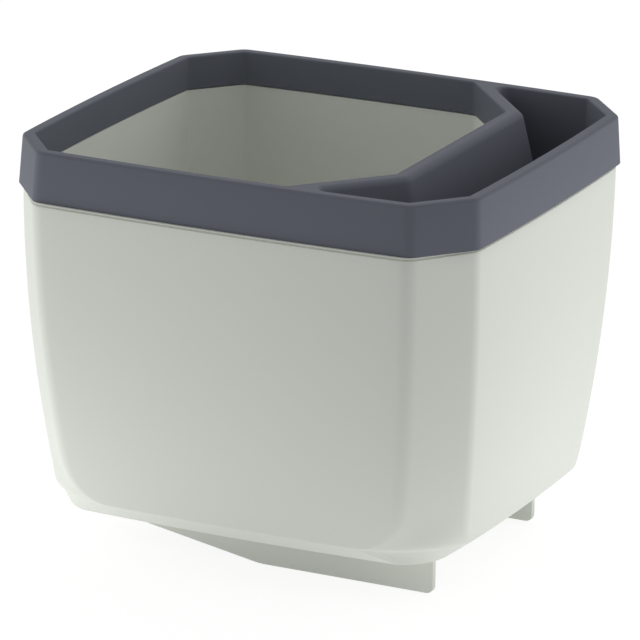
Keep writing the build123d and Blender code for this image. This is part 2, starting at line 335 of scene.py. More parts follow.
def make_grain():
    tree, given, result = shader_group("moulded_grain", [
        ("Vector", "NodeSocketVector", None),
        ("Pits Per Metre", "NodeSocketFloat", 2600.0),
        ("Roughness", "NodeSocketFloat", 0.45),
        ("Roughness Change", "NodeSocketFloat", 0.06),
    ], [("Height", "NodeSocketFloat"), ("Roughness", "NodeSocketFloat")])
    pits = add_node(
        tree, "ShaderNodeTexNoise", Vector=given["Vector"], Scale=given["Pits Per Metre"], Detail=3.0
    )
    waves = add_node(tree, "ShaderNodeTexNoise", Vector=given["Vector"], Scale=35.0, Detail=4.0)
    spread = math_node(tree, "SUBTRACT", waves.outputs[0], 0.5)
    change = math_node(tree, "MULTIPLY", spread, given["Roughness Change"])
    tree.links.new(pits.outputs[0], result["Height"])
    tree.links.new(math_node(tree, "ADD", given["Roughness"], change), result["Roughness"])
    return tree


def make_clouding():
    tree, given, result = shader_group("colour_clouding", [
        ("Vector", "NodeSocketVector", None),
        ("Colour", "NodeSocketColor", (0.5, 0.5, 0.5, 1)),
        ("Second Colour", "NodeSocketColor", (0.5, 0.5, 0.5, 1)),
        ("Clouds Per Metre", "NodeSocketFloat", 14.0),
    ], [("Colour", "NodeSocketColor")])
    clouds = add_node(
        tree, "ShaderNodeTexNoise", Vector=given["Vector"], Scale=given["Clouds Per Metre"], Detail=5.0
    )
    mix = tree.nodes.new("ShaderNodeMix")
    mix.data_type = "RGBA"
    tree.links.new(clouds.outputs[0], mix.inputs["Factor"])
    tree.links.new(given["Colour"], mix.inputs[6])
    tree.links.new(given["Second Colour"], mix.inputs[7])
    tree.links.new(mix.outputs[2], result["Colour"])
    return tree


grain_group = make_grain()
clouding_group = make_clouding()
print("shader groups:", grain_group.name, clouding_group.name)


# %% Make the two plastics
def make_plastic(name, colour, second_colour, roughness, specular):
    material = bpy.data.materials.new(name)
    material.use_nodes = True
    tree = material.node_tree
    shader = tree.nodes["Principled BSDF"]
    shader.inputs["Specular IOR Level"].default_value = specular
    place = add_node(tree, "ShaderNodeTexCoord").outputs["Object"]
    clouding = add_node(
        tree, "ShaderNodeGroup", {"node_tree": clouding_group},
        Vector=place, Colour=(*colour, 1), Second_Colour=(*second_colour, 1),
    )
    grain = add_node(
        tree, "ShaderNodeGroup", {"node_tree": grain_group}, Vector=place, Roughness=roughness
    )
    bump = add_node(
        tree, "ShaderNodeBump", Strength=0.12, Distance=0.0001, Height=grain.outputs["Height"]
    )
    tree.links.new(clouding.outputs["Colour"], shader.inputs["Base Color"])
    tree.links.new(grain.outputs["Roughness"], shader.inputs["Roughness"])
    tree.links.new(bump.outputs["Normal"], shader.inputs["Normal"])
    return material


pale_plastic = make_plastic("pale_plastic", (0.69, 0.714, 0.655), (0.70, 0.724, 0.668), 0.45, 0.2)
slate_plastic = make_plastic("slate_plastic", (0.136, 0.147, 0.176), (0.142, 0.153, 0.183), 0.5, 0.06)

# %% [markdown]
# ## The outer pot
# The pot's walls narrow towards the base in a smooth curve. Near the base the flat panels get round
# lower corners and the cut between them swells to fill the space. A subdivided box could be pulled
# into this shape by hand, but it would not match the CAD walls. So the same rule that drew the CAD
# walls is written here, sampled far more closely, and its edges are rounded by the tree.

# %% Write the rule of the walls
UNDERSIDE, CREASE, LEDGE = 16.3, 22.1, 135.0
WALL_HEIGHT = LEDGE - CREASE
LEDGE_HALF_WIDTH, LEDGE_HALF_DEPTH = 89.0, 84.4
SIDE_LEANS, FRONT_LEANS = (1.6, 7.3), (4.6, 13.5)
CUT_X, CUT_X_GAIN, CUT_Y, CUT_Y_LOSS = 16.4, 1.0, 23.0, 2.6
PANEL_CORNER, SIDE_CORNER_SHARE = 15.5, 0.26
CUT_SWELL, FOLD_RADIUS = 5.8, 7.7
TURN_START = 1 - PANEL_CORNER / WALL_HEIGHT


def through(middle, last, share):
    """A smooth curve that starts at nothing and passes through a middle and a last value."""
    return (4 * middle - last) * share + 2 * (last - 2 * middle) * share ** 2


def pot_walls(share):
    """The outline of the walls, from the ledge at share 0 down to the crease at share 1."""
    half_width = LEDGE_HALF_WIDTH - through(*SIDE_LEANS, share)
    half_depth = LEDGE_HALF_DEPTH - through(*FRONT_LEANS, share)
    turn = min(max(0, (share - TURN_START) / (1 - TURN_START)), 1)
    growth = PANEL_CORNER * (1 - sqrt(1 - turn ** 2))
    full_x = half_width - (CUT_X + CUT_X_GAIN * share)
    full_y = half_depth - (CUT_Y - CUT_Y_LOSS * share)
    front_x, side_y = full_x - growth, full_y - growth * SIDE_CORNER_SHARE
    return {
        "front": (front_x, half_depth + FRONT_BOW * (1 - (front_x / full_x) ** 2)),
        "side": (half_width + SIDE_BOW * (1 - (side_y / full_y) ** 2), side_y),
        "bow": (half_width + SIDE_BOW, half_depth + FRONT_BOW),
        "rise": CUT_SWELL * turn ** 2,
        "radius": FOLD_RADIUS,
    }


def shares(wall_steps=20, turn_steps=16):
    """Shares of the wall's height, closer together where the panels' corners turn."""
    upper = [TURN_START * step / wall_steps for step in range(wall_steps)]
    turns = [sin(step / turn_steps * pi / 2) for step in range(turn_steps + 1)]
    return upper + [TURN_START + (1 - TURN_START) * turn for turn in turns]


SKIRT_LEAN, SKIRT_HEIGHT = 1.05, 18.2


def collar_outline(z):
    """The outside of the collar's skirt, which leans in towards its top."""
    lean = SKIRT_LEAN * (z - LEDGE) / SKIRT_HEIGHT
    return cut_rectangle(COLLAR_HALF_WIDTH - lean, COLLAR_HALF_DEPTH - lean, COLLAR_CORNER)


RIM_TOP, RIM_WALL, RIM_FROM_SKIRT, RIM_FROM_LEDGE = 151.0, 1.0, 1.4, 0.3


def rim_outline(z):
    """The outside of the pot's thin rim, which the collar covers."""
    return narrower(inset(collar_outline(z), RIM_FROM_SKIRT), inset(pot_walls(0), RIM_FROM_LEDGE))


# The widest rings are drawn this much smaller, so that they stay inside the CAD box.
BOX_TRIM = 0.05
rim_inside = inset(rim_outline(RIM_TOP), RIM_WALL)
underside = {
    "front": (62.8, 65.1), "side": (73.8, 50.1), "bow": (75.1, 66.7), "rise": 2.5, "radius": 4.0,
}
print("half size at the ledge", pot_walls(0)["bow"], "and at the crease", pot_walls(1)["bow"])

# %% Stack the rings of the pot
RESERVOIR_FLOOR, POT_WALL, FLOOR_FOLD, RIM_EDGE = 18.5, 2.2, 1.0, 0.25
LEDGE_EDGE, GROOVE_EDGE, CREASE_FOLD, FOOT_FOLD = 0.3, 0.1, 2.0, 0.8
GROOVE = ((0.3, BOX_TRIM), (0.4, 0.8), (1.0, 0.8), (1.15, BOX_TRIM))
columns = len(whole_ring(underside))
middle = [(0, 0)] * columns
reservoir_ring = whole_ring(inset(underside, POT_WALL * (sqrt(2) - 1)))
levels = [(middle, RESERVOIR_FLOOR, 0), (reservoir_ring, RESERVOIR_FLOOR, FLOOR_FOLD)]
for share in reversed(shares()):
    inside = narrower(inset(pot_walls(share), POT_WALL), rim_inside)
    levels.append((whole_ring(inside), LEDGE - share * WALL_HEIGHT, 0))
levels.append((whole_ring(rim_inside), RIM_TOP, RIM_EDGE))
levels.append((whole_ring(rim_outline(RIM_TOP)), RIM_TOP, RIM_EDGE))
levels.append((whole_ring(rim_outline(LEDGE)), LEDGE, 0))
levels.append((whole_ring(inset(pot_walls(0), BOX_TRIM)), LEDGE, LEDGE_EDGE))
for drop, depth in GROOVE:
    groove = inset(pot_walls(drop / WALL_HEIGHT), depth)
    levels.append((whole_ring(groove), LEDGE - drop, GROOVE_EDGE))
for share in shares()[1:]:
    fold = CREASE_FOLD if share == 1 else 0
    levels.append((whole_ring(pot_walls(share)), LEDGE - share * WALL_HEIGHT, fold))
levels += [(whole_ring(underside), UNDERSIDE, FOOT_FOLD), (middle, UNDERSIDE, 0)]
pot = ring_object("outer_shell", levels)
print("levels in the pot:", len(levels), "points around it:", columns)

# %% [markdown]
# ## The two fins
# The pot stands on two thin upright fins. Each is level on the right and rises to the left of a soft
# kink. Only one fin is drawn, as two rings a fin's thickness apart, and the tree places it twice with
# Instance on Points, then joins both to the pot with Mesh Boolean, as one moulding.

# %% Draw the fin's side
FIN_RIGHT, FIN_LEFT, FIN_Y, FIN_THICKNESS = 67.3, 67.5, 44.0, 2.7
FIN_KINK, FIN_SLOPE, FIN_ROOT, FIN_EDGE = 1.0, radians(10.1), 1.1, 0.3
FIN_KINK_RADIUS, FIN_END_RADIUS = 30.0, 2.3
left_foot = (FIN_LEFT - FIN_KINK) * tan(FIN_SLOPE)
fin_side = rounded([
    (-FIN_LEFT, left_foot, FIN_EDGE),
    (-FIN_KINK, 0, FIN_KINK_RADIUS),
    (FIN_RIGHT, 0, FIN_END_RADIUS),
    (FIN_RIGHT, UNDERSIDE + FIN_ROOT, FIN_EDGE),
    (-FIN_LEFT, UNDERSIDE + FIN_ROOT, FIN_EDGE),
])
fin_levels = []
for side, is_middle in ((-1, True), (-1, False), (1, False), (1, True)):
    ring = [(0, UNDERSIDE / 2)] * len(fin_side) if is_middle else fin_side
    fin_levels.append((ring, side * FIN_THICKNESS / 2, 0 if is_middle else FIN_EDGE))
fin = ring_object("fin_rings", fin_levels)
for point in fin.data.vertices:
    x, z, y = point.co
    point.co = (x, y, z)
print("points round the fin:", len(fin_side))


# %% Build the pot's tree
def make_pot_tree():
    tree, given, result = geometry_group("pot_with_fins", [
        ("Columns", "NodeSocketInt", columns),
        ("Fin", "NodeSocketObject", None),
        ("Fin Columns", "NodeSocketInt", 10),
        ("Fin Spacing", "NodeSocketFloat", 0.088),
        ("Material", "NodeSocketMaterial", None),
    ])
    shell = add_node(
        tree, "GeometryNodeGroup", {"node_tree": skin_tree},
        Geometry=given["Geometry"], Columns=given["Columns"],
    ).outputs[0]
    fin_info = add_node(tree, "GeometryNodeObjectInfo", Object=given["Fin"]).outputs["Geometry"]
    one_fin = add_node(
        tree, "GeometryNodeGroup", {"node_tree": skin_tree},
        Geometry=fin_info, Columns=given["Fin Columns"],
    ).outputs[0]
    half = math_node(tree, "DIVIDE", given["Fin Spacing"], -2)
    start = add_node(tree, "ShaderNodeCombineXYZ", Y=half).outputs[0]
    stride = add_node(tree, "ShaderNodeCombineXYZ", Y=given["Fin Spacing"]).outputs[0]
    places = add_node(tree, "GeometryNodeMeshLine", Count=2, Start_Location=start, Offset=stride).outputs[0]
    fins = add_node(tree, "GeometryNodeInstanceOnPoints", Points=places, Instance=one_fin).outputs[0]
    real_fins = add_node(tree, "GeometryNodeRealizeInstances", Geometry=fins).outputs[0]
    union = tree.nodes.new("GeometryNodeMeshBoolean")
    union.operation, union.solver = "UNION", "EXACT"
    tree.links.new(shell, union.inputs[1])
    tree.links.new(real_fins, union.inputs[1])
    real = add_node(tree, "GeometryNodeRealizeInstances", Geometry=union.outputs[0]).outputs[0]
    last = add_node(tree, "GeometryNodeSetMaterial", Geometry=real, Material=given["Material"])
    tree.links.new(last.outputs[0], result["Geometry"])
    return tree


use_tree(
    pot, make_pot_tree(), columns=columns, fin=fin, fin_columns=len(fin_side),
    fin_spacing=2 * FIN_Y * MM, material=pale_plastic,
)
baked(pot, [fin])
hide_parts("outer_pot")
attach(pot, "outer_pot")

# %% [markdown]
# ## The planting pot
# The planting pot is a thin shell with a flat wall beside the filling pocket. Its floor is perforated,
# and four hollow wells with slots reach down into the water, so that soil in them draws it up. Each
# hole could be cut by hand. The tree instead places one round cutter on a grid of points, one cup and
# its slots on four points, and cuts them all at once with Mesh Boolean, because the pattern is a rule.

# %% Cut an outline off at the divider
DIVIDER_X, DIVIDER_CORNER_Y = 50.6, 47.3
CUT_LENGTH = hypot(*COLLAR_CUT)
CUT_NORMAL = (COLLAR_CUT[1] / CUT_LENGTH, COLLAR_CUT[0] / CUT_LENGTH)


def divider_corner(setback):
    """The corner of the divider's line, moved towards the pocket by the setback."""
    return DIVIDER_X + setback, DIVIDER_CORNER_Y + setback * (1 - CUT_NORMAL[0]) / CUT_NORMAL[1]


def divider_end(outline, setback):
    """Where the divider's line meets the long side of an outline."""
    corner_x, corner_y = divider_corner(setback)
    front_x, front_y = outline["front"]
    rise = outline["bow"][1] - front_y
    end_x = corner_x
    for _ in range(20):
        end_y = front_y + rise * (1 - (end_x / front_x) ** 2)
        end_x = corner_x - (end_y - corner_y) * COLLAR_CUT[0] / COLLAR_CUT[1]
    return end_x, end_y


def long_side(outline, start_x, end_x, side):
    """Points of the bowed long side between two places, without its ends."""
    front_x, front_y = outline["front"]
    rise = outline["bow"][1] - front_y
    places = [start_x + (end_x - start_x) * step / SIDE_PIECES for step in range(1, SIDE_PIECES)]
    return [(x, side * (front_y + rise * (1 - (x / front_x) ** 2)), 0) for x in places]


def planting_ring(outline, setback, corner=4.0, tip=3.0):
    """The ring of what lies on the planting side of the divider's line."""
    (front_x, front_y), (side_x, side_y) = outline["front"], outline["side"]
    corner_x, corner_y = divider_corner(setback)
    end_x, end_y = divider_end(outline, setback)
    radius = outline["radius"]
    side_rise = outline["bow"][0] - side_x
    left = [(*p, 0) for p in arc((-side_x, side_y), (-side_x, -side_y), side_rise, SIDE_PIECES)]
    return rounded([
        (corner_x, -corner_y, corner), (corner_x, corner_y, corner), (end_x, end_y, tip),
        *long_side(outline, end_x, -front_x, 1),
        (-front_x, front_y, radius), (-side_x, side_y, radius), *left,
        (-side_x, -side_y, radius), (-front_x, -front_y, radius),
        *long_side(outline, -front_x, end_x, -1), (end_x, -end_y, tip),
    ])


def pocket_ring(outline, setback, corner=6.0, tip=3.0):
    """The ring of what lies on the pocket's side of the divider's line."""
    (front_x, front_y), (side_x, side_y) = outline["front"], outline["side"]
    corner_x, corner_y = divider_corner(setback)
    end_x, end_y = divider_end(outline, setback)
    radius = outline["radius"]
    side_rise = outline["bow"][0] - side_x
    right = [(*p, 0) for p in arc((side_x, -side_y), (side_x, side_y), side_rise, SIDE_PIECES)]
    past_tip = end_x + 1.1 * tip / tan(atan2(COLLAR_CUT[1], COLLAR_CUT[0]) / 2)
    return rounded([
        (corner_x, corner_y, corner), (corner_x, -corner_y, corner), (end_x, -end_y, tip),
        *long_side(outline, past_tip, front_x, -1),
        (front_x, -front_y, radius), (side_x, -side_y, radius), *right,
        (side_x, side_y, radius), (front_x, front_y, radius),
        *long_side(outline, front_x, past_tip, 1), (end_x, end_y, tip),
    ])


# %% Stack the rings of the planting pot
PLANTER_TOP, PLANTER_FLOOR, PLANTER_GAP = 140.2, 36.5, 0.3
PLANTER_WALL, PLANTER_SIDE, DIVIDER_LEAN = 1.1, 1.8, 2.4
PLANTER_FOLD, PLANTER_INNER_FOLD, PLANTER_EDGE = 1.6, 1.2, 0.3
FOOT_FROM_WALL = 3.4
planter_rim = inset(rim_inside, PLANTER_GAP)
planter_foot = inset(pot_walls((LEDGE - PLANTER_FLOOR) / WALL_HEIGHT), FOOT_FROM_WALL)


def planter_level(high, wall, soft):
    outline = inset(planter_rim if high else planter_foot, wall)
    setback = PLANTER_SIDE - wall - (0 if high else DIVIDER_LEAN)
    z = PLANTER_TOP if high else PLANTER_FLOOR + wall
    return planting_ring(outline, setback), z, soft


foot_ring = planter_level(False, 0, 0)[0]
centre = [(-14, 0)] * len(foot_ring)
planter = ring_object("planting_shell", [
    (centre, PLANTER_FLOOR, 0),
    planter_level(False, 0, PLANTER_FOLD),
    planter_level(True, 0, PLANTER_EDGE),
    planter_level(True, PLANTER_WALL, PLANTER_EDGE),
    planter_level(False, PLANTER_WALL, PLANTER_INNER_FOLD),
    (centre, PLANTER_FLOOR + PLANTER_WALL, 0),
])
print("points round the planting pot:", len(foot_ring))

# %% Find the places of the wells and the holes
WELL_INSET, WELL_TOP, WELL_FOOT = 29.0, 13.0, 10.5
HOLE_RADIUS, HOLE_PITCH, HOLE_MARGIN = 2.2, 13.0, 3.0
floor_right = divider_corner(PLANTER_SIDE - DIVIDER_LEAN)
well_x = (WELL_INSET - planter_foot["side"][0], floor_right[0] - WELL_INSET)
well_y = planter_foot["front"][1] - WELL_INSET
well_places = [(x, y) for x in well_x for y in (well_y, -well_y)]


def beyond_cut(x, y, corner_x, corner_y):
    """How far a place lies outside a line with the cut's direction through a corner."""
    return (x - corner_x) * CUT_NORMAL[0] + (y - corner_y) * CUT_NORMAL[1]


clear = PLANTER_WALL + HOLE_MARGIN + HOLE_RADIUS
field = inset(planter_foot, clear)
field_right = divider_corner(PLANTER_SIDE - DIVIDER_LEAN - clear)
hole_places = []
for column in range(-4, 5):
    for row in range(-4, 5):
        x, y = sum(well_x) / 2 + column * HOLE_PITCH, row * HOLE_PITCH
        in_walls = -field["side"][0] < x < field_right[0] and abs(y) < field["front"][1]
        in_cuts = beyond_cut(-x, abs(y), *field["side"]) < 0 and beyond_cut(x, abs(y), *field_right) < 0
        off_wells = all(hypot(x - a, y - b) > WELL_TOP + HOLE_MARGIN + HOLE_RADIUS for a, b in well_places)
        if in_walls and in_cuts and off_wells:
            hole_places.append((x, y))


def place_object(name, places, z):
    mesh = bpy.data.meshes.new(name)
    mesh.from_pydata([(x * MM, y * MM, z * MM) for x, y in places], [], [])
    made = bpy.data.objects.new(name, mesh)
    bpy.context.scene.collection.objects.link(made)
    return made


wells = place_object("well_places", well_places, RESERVOIR_FLOOR)
holes = place_object("hole_places", hole_places, PLANTER_FLOOR + PLANTER_WALL / 2)
print("wells:", len(well_places), "holes in the floor:", len(hole_places))


# %% Build the planting pot's tree
def make_planter_tree():
    tree, given, result = geometry_group("pot_with_wells", [
        ("Columns", "NodeSocketInt", 10),
        ("Wells", "NodeSocketObject", None),
        ("Holes", "NodeSocketObject", None),
        ("Well Height", "NodeSocketFloat", 0.018),
        ("Well Top", "NodeSocketFloat", 0.013),
        ("Well Foot", "NodeSocketFloat", 0.0105),
        ("Wall", "NodeSocketFloat", 0.0011),
        ("Hole Radius", "NodeSocketFloat", 0.0022),
        ("Slot Width", "NodeSocketFloat", 0.0024),
        ("Slot Height", "NodeSocketFloat", 0.009),
        ("Slot Lift", "NodeSocketFloat", 0.003),
        ("Material", "NodeSocketMaterial", None),
    ])
    shell = add_node(
        tree, "GeometryNodeGroup", {"node_tree": skin_tree},
        Geometry=given["Geometry"], Columns=given["Columns"],
    ).outputs[0]
    well_points = add_node(tree, "GeometryNodeObjectInfo", Object=given["Wells"]).outputs["Geometry"]
    hole_points = add_node(tree, "GeometryNodeObjectInfo", Object=given["Holes"]).outputs["Geometry"]

    def cup(shrink, lift, extra):
        """A cone for the outside or the inside of a well, standing on its point."""
        top = math_node(tree, "SUBTRACT", given["Well Top"], shrink)
        foot = math_node(tree, "SUBTRACT", given["Well Foot"], shrink)
        depth = math_node(tree, "ADD", math_node(tree, "SUBTRACT", given["Well Height"], lift), extra)
        cone = add_node(
            tree, "GeometryNodeMeshCone", Vertices=48, Radius_Top=top, Radius_Bottom=foot, Depth=depth
        ).outputs[0]
        up = add_node(tree, "ShaderNodeCombineXYZ", Z=lift).outputs[0]
        raised = add_node(tree, "GeometryNodeTransform", Geometry=cone, Translation=up).outputs[0]
        placed = add_node(tree, "GeometryNodeInstanceOnPoints", Points=well_points, Instance=raised)
        return add_node(tree, "GeometryNodeRealizeInstances", Geometry=placed.outputs[0]).outputs[0]

    outside = cup(0.0, 0.0, given["Wall"])
    inside = cup(given["Wall"], given["Wall"], given["Wall"])
    length = math_node(tree, "MULTIPLY", given["Well Top"], 3)
    size = add_node(
        tree, "ShaderNodeCombineXYZ", X=length, Y=given["Slot Width"], Z=given["Slot Height"]
    ).outputs[0]
    slot = add_node(tree, "GeometryNodeMeshCube", Size=size).outputs[0]
    half_height = math_node(tree, "DIVIDE", given["Slot Height"], 2)
    middle_height = math_node(tree, "ADD", given["Slot Lift"], half_height)
    raise_slot = add_node(tree, "ShaderNodeCombineXYZ", Z=middle_height).outputs[0]
    slots = []
    for angle in (45, 135):
        turned = add_node(tree, "GeometryNodeTransform", Geometry=slot, Translation=raise_slot)
        turned.inputs["Rotation"].default_value = (0, 0, radians(angle))
        placed = add_node(
            tree, "GeometryNodeInstanceOnPoints", Points=well_points, Instance=turned.outputs[0]
        )
        slots.append(add_node(tree, "GeometryNodeRealizeInstances", Geometry=placed.outputs[0]).outputs[0])
    depth = math_node(tree, "MULTIPLY", given["Wall"], 4)
    drill = add_node(
        tree, "GeometryNodeMeshCylinder", Vertices=24, Radius=given["Hole Radius"], Depth=depth
    ).outputs[0]
    placed = add_node(tree, "GeometryNodeInstanceOnPoints", Points=hole_points, Instance=drill).outputs[0]
    drills = add_node(tree, "GeometryNodeRealizeInstances", Geometry=placed).outputs[0]

    union = tree.nodes.new("GeometryNodeMeshBoolean")
    union.operation, union.solver = "UNION", "EXACT"
    for part in (shell, outside):
        tree.links.new(part, union.inputs[1])
    cut = tree.nodes.new("GeometryNodeMeshBoolean")
    cut.operation, cut.solver = "DIFFERENCE", "EXACT"
    tree.links.new(union.outputs[0], cut.inputs[0])
    for part in (inside, *slots, drills):
        tree.links.new(part, cut.inputs[1])
    real = add_node(tree, "GeometryNodeRealizeInstances", Geometry=cut.outputs[0]).outputs[0]
    last = add_node(tree, "GeometryNodeSetMaterial", Geometry=real, Material=given["Material"])
    tree.links.new(last.outputs[0], result["Geometry"])
    return tree


use_tree(
    planter, make_planter_tree(), columns=len(foot_ring), wells=wells, holes=holes,
    well_height=(PLANTER_FLOOR - RESERVOIR_FLOOR) * MM, well_top=WELL_TOP * MM, well_foot=WELL_FOOT * MM,
    wall=PLANTER_WALL * MM, hole_radius=HOLE_RADIUS * MM, material=pale_plastic,
)
baked(planter, [wells, holes])
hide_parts("inner_pot")
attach(planter, "inner_pot")

# %% [markdown]
# ## The collar
# The collar is an upside-down channel. Its flat land has two openings: the planting space, with a
# short flange round it, and the filling pocket, a hopper that leads the water down. The two openings
# are divided by a slim bar whose edge towards the pocket is rounder than the rest. Extruding and
# bevelling a flat sheet would round every edge alike, so three stacks of rings are used, and the flat
# faces between them are filled by Fill Curve from the skins' own open edges.

# %% Stack the rings of the collar
COLLAR_TOP, PLATE, FLANGE_FOOT, HOPPER_FOOT = 153.2, 151.2, 140.5, 90.2
HOPPER_SLOPE, HOPPER_LEAN = radians(12.6), 2.6
HOPPER_RUN = (COLLAR_TOP - HOPPER_FOOT) * tan(HOPPER_SLOPE)
LAND, DIVIDER_WIDTH = 4.5, 6.0
FLANGE_WALL, HOPPER_WALL, SKIRT_WALL = 1.2, 1.5, 1.2
collar_top = collar_outline(COLLAR_TOP)

skirt_levels = [
    (whole_ring(inset(collar_top, 1.7)), COLLAR_TOP, 0),
    (whole_ring(collar_top), COLLAR_TOP, 1.3),
    (whole_ring(inset(collar_outline(LEDGE), BOX_TRIM)), LEDGE, 0.3),
    (whole_ring(inset(collar_outline(LEDGE), SKIRT_WALL)), LEDGE, 0.3),
    (whole_ring(inset(collar_outline(PLATE), SKIRT_WALL)), PLATE, 0),
]
planting_levels = [
    (planting_ring(inset(collar_top, LAND - 1.0), 1.0), COLLAR_TOP, 0),
    (planting_ring(inset(collar_top, LAND), 0), COLLAR_TOP, 0.7),
    (planting_ring(inset(collar_top, LAND - 0.5), 0.5), FLANGE_FOOT, 0.4),
    (planting_ring(inset(collar_top, LAND - 0.5 - FLANGE_WALL), 0.5 + FLANGE_WALL), FLANGE_FOOT, 0.4),
    (planting_ring(inset(collar_top, LAND - FLANGE_WALL), FLANGE_WALL), PLATE, 0),
]


def hopper_ring(share, wall):
    """A ring of the hopper, from its mouth at share 0 to its foot at share 1."""
    outline = inset(collar_top, LAND + HOPPER_LEAN * share - wall)
    return pocket_ring(outline, DIVIDER_WIDTH + HOPPER_RUN * share - wall)


# %% Round the pocket's lip more on the divider's side
def outset(ring, reaches):
    """The ring with each point moved outwards, square to the ring, by its own reach."""
    moved = []
    for index, (x, y) in enumerate(ring):
        before, after = Vector(ring[index - 1]), Vector(ring[(index + 1) % len(ring)])
        here = Vector((x, y))
        way = ((here - before).normalized() + (after - here).normalized()).normalized()
        moved.append((x + way.y * reaches[index], y - way.x * reaches[index]))
    return moved


mouth = hopper_ring(0, 0)
fade = [(1 + cos(pi * step / FOLD_PIECES)) / 2 for step in range(FOLD_PIECES + 1)]
divider_part = [1.0] * (2 * len(fade)) + fade
pull = divider_part + [0.0] * (len(mouth) - len(divider_part) - len(fade)) + fade[::-1]
lip = [0.7 + 2.3 * share for share in pull]
support = outset(mouth, [1.0 + 1.8 * share for share in pull])
pocket_levels = [
    (support, COLLAR_TOP, 0),
    (mouth, COLLAR_TOP, lip),
    (hopper_ring(1, 0), HOPPER_FOOT, 0.4),
    (hopper_ring(1, HOPPER_WALL), HOPPER_FOOT, 0.4),
    (hopper_ring((COLLAR_TOP - PLATE) / (COLLAR_TOP - HOPPER_FOOT), HOPPER_WALL), PLATE, 0),
]
for part in (skirt_levels, planting_levels, pocket_levels):
    print("points round this part of the collar:", len(part[0][0]))


# %% Build the collar's tree
def make_collar_tree():
    tree, given, result = geometry_group("collar_from_skins", [
        ("Skirt Columns", "NodeSocketInt", 10),
        ("Planting Rings", "NodeSocketObject", None),
        ("Planting Columns", "NodeSocketInt", 10),
        ("Pocket Rings", "NodeSocketObject", None),
        ("Pocket Columns", "NodeSocketInt", 10),
        ("Land Height", "NodeSocketFloat", 0.1532),
        ("Plate Height", "NodeSocketFloat", 0.1512),
        ("Edge Steps", "NodeSocketInt", 6),
        ("Material", "NodeSocketMaterial", None),
    ])
    join = tree.nodes.new("GeometryNodeJoinGeometry")
    sources = [(given["Geometry"], given["Skirt Columns"])]
    for word in ("Planting", "Pocket"):
        info = add_node(tree, "GeometryNodeObjectInfo", Object=given[word + " Rings"])
        sources.append((info.outputs["Geometry"], given[word + " Columns"]))
    for rings, count in sources:
        skin = add_node(
            tree, "GeometryNodeGroup", {"node_tree": skin_tree},
            Geometry=rings, Columns=count, Edge_Steps=given["Edge Steps"],
        )
        tree.links.new(skin.outputs[0], join.inputs[0])
    faces = add_node(tree, "GeometryNodeInputMeshEdgeNeighbors").outputs[0]
    is_open = add_node(tree, "FunctionNodeCompare", {"data_type": "INT", "operation": "EQUAL"})
    tree.links.new(faces, is_open.inputs[2])
    is_open.inputs[3].default_value = 1
    place = add_node(tree, "GeometryNodeInputPosition").outputs[0]
    height = add_node(tree, "ShaderNodeSeparateXYZ", Vector=place).outputs["Z"]
    both = math_node(tree, "ADD", given["Land Height"], given["Plate Height"])
    between = math_node(tree, "MULTIPLY", both, 0.5)
    above = math_node(tree, "GREATER_THAN", height, between)
    below = math_node(tree, "LESS_THAN", height, between)
    everything = tree.nodes.new("GeometryNodeJoinGeometry")
    tree.links.new(join.outputs[0], everything.inputs[0])
    for side, level in ((above, given["Land Height"]), (below, given["Plate Height"])):
        chosen = math_node(tree, "MULTIPLY", is_open.outputs[0], side)
        borders = add_node(tree, "GeometryNodeMeshToCurve", Mesh=join.outputs[0], Selection=chosen).outputs[0]
        flat = add_node(tree, "GeometryNodeFillCurve", {"mode": "TRIANGLES"}, Curve=borders).outputs[0]
        spot = add_node(tree, "GeometryNodeInputPosition").outputs[0]
        parts = add_node(tree, "ShaderNodeSeparateXYZ", Vector=spot).outputs
        at_level = add_node(tree, "ShaderNodeCombineXYZ", X=parts["X"], Y=parts["Y"], Z=level).outputs[0]
        raised = add_node(tree, "GeometryNodeSetPosition", Geometry=flat, Position=at_level).outputs[0]
        tree.links.new(raised, everything.inputs[0])
    merged = add_node(
        tree, "GeometryNodeMergeByDistance", Geometry=everything.outputs[0], Distance=WELD
    ).outputs[0]
    real = add_node(tree, "GeometryNodeRealizeInstances", Geometry=merged).outputs[0]
    last = add_node(tree, "GeometryNodeSetMaterial", Geometry=real, Material=given["Material"])
    tree.links.new(last.outputs[0], result["Geometry"])
    return tree


collar = ring_object("collar_ring", skirt_levels)
planting_rings = ring_object("planting_rings", planting_levels)
pocket_rings = ring_object("pocket_rings", pocket_levels)
use_tree(
    collar, make_collar_tree(), skirt_columns=len(skirt_levels[0][0]),
    planting_rings=planting_rings, planting_columns=len(planting_levels[0][0]),
    pocket_rings=pocket_rings, pocket_columns=len(mouth),
    land_height=COLLAR_TOP * MM, plate_height=PLATE * MM, material=slate_plastic,
)
baked(collar, [planting_rings, pocket_rings])
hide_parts("collar")
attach(collar, "collar")

# %% [markdown]
# ## The camera
# The lines of the photograph run almost parallel, so it was taken from far off with a long lens.
# The camera is set by its direction, its roll and its distance, because those are what the lines of
# the picture give, and the same direction then serves the light.

# %% Aim the camera
azimuth, elevation, roll = radians(25.3105), radians(17.2628), radians(0.9352)
CAMERA_DISTANCE, LENS, SENSOR = 2107.0, 325.5, 36
to_camera = Vector((sin(azimuth) * cos(elevation), -cos(azimuth) * cos(elevation), sin(elevation)))
right = Vector((0, 0, 1)).cross(to_camera).normalized()
up = to_camera.cross(right)
right, up = right * cos(roll) + up * sin(roll), up * cos(roll) - right * sin(roll)
camera_data = bpy.data.cameras.new("camera")
camera_data.sensor_width = SENSOR
camera_data.lens = LENS
camera_data.clip_start, camera_data.clip_end = 0.1, 20
camera = bpy.data.objects.new("camera", camera_data)
bpy.context.scene.collection.objects.link(camera)
aim = Vector((-4.563, 9.762, 76.12)) * MM
turned = Matrix((right, up, to_camera)).transposed().to_4x4()
camera.matrix_world = Matrix.Translation(aim + to_camera * CAMERA_DISTANCE * MM) @ turned
bpy.context.scene.camera = camera
